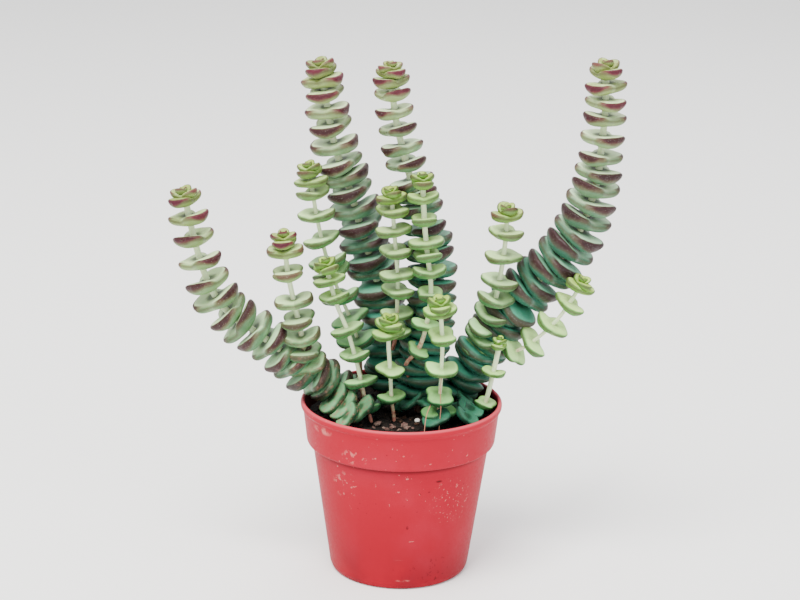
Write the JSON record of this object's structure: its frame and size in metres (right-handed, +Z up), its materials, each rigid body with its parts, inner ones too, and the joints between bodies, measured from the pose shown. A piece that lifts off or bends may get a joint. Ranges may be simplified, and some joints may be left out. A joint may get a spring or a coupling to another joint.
{
  "type": "potted hottentot crassula",
  "caption": "Leafy succulent with upright and arching stems strung with stacked pairs of fleshy leaves, rooted in the soil of a tapered plastic nursery pot.",
  "frame": {"origin": "centre of the pot's flat underside", "axes": "+Z up from the underside to the stem tips, +X to the right of the usual view, where the tallest arching stem leans, and +Y away from that view"},
  "size_m": [0.2295, 0.1046, 0.2711],
  "materials": {
    "pot_plastic": "satin",
    "soil": "matte",
    "leaf_old": "satin",
    "leaf_young": "satin"
  },
  "bodies": {
    "root": {"pot": "pot_plastic", "soil": "soil", "leafy_stem_left": "leaf_old", "leafy_stem_tall_left": "leaf_old", "leafy_stem_tall_centre": "leaf_old", "leafy_stem_right": "leaf_old", "leafy_stem_back_right": "leaf_old", "leafy_stem_back_left": "leaf_young", "leafy_stem_front_left": "leaf_young", "leafy_stem_front_centre": "leaf_young", "leafy_stem_front_right": "leaf_young", "leafy_stem_right_short": "leaf_young"}
  },
  "joints": []
}
